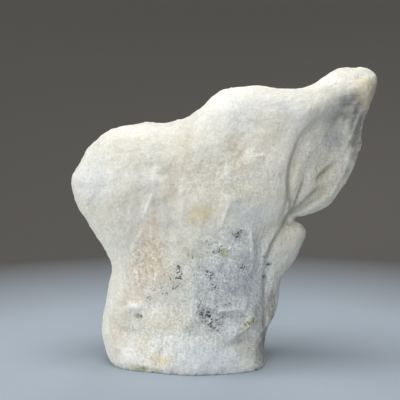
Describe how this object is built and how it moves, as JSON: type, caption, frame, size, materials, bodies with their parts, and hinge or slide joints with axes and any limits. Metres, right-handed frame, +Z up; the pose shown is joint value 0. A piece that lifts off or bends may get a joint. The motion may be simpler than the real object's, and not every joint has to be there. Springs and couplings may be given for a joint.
{
  "type": "free-standing white marble stone",
  "caption": "Upright sculptural piece of white marble with a shoulder, a hooked tip, a folded wing and a fin, standing on a flat cut foot.",
  "frame": {"origin": "on the surface that the stone stands on, under the middle of its bounding box", "axes": "+Z up, +X towards the hooked tip, +Y away from the viewer, so the pictured face looks along -Y"},
  "size_m": [0.31, 0.1032, 0.3],
  "materials": {
    "marble": "rough, finely crystalline white marble with faint tan, grey-blue and olive stains and dark specks"
  },
  "bodies": {
    "root": {"marble": "marble"}
  },
  "joints": []
}
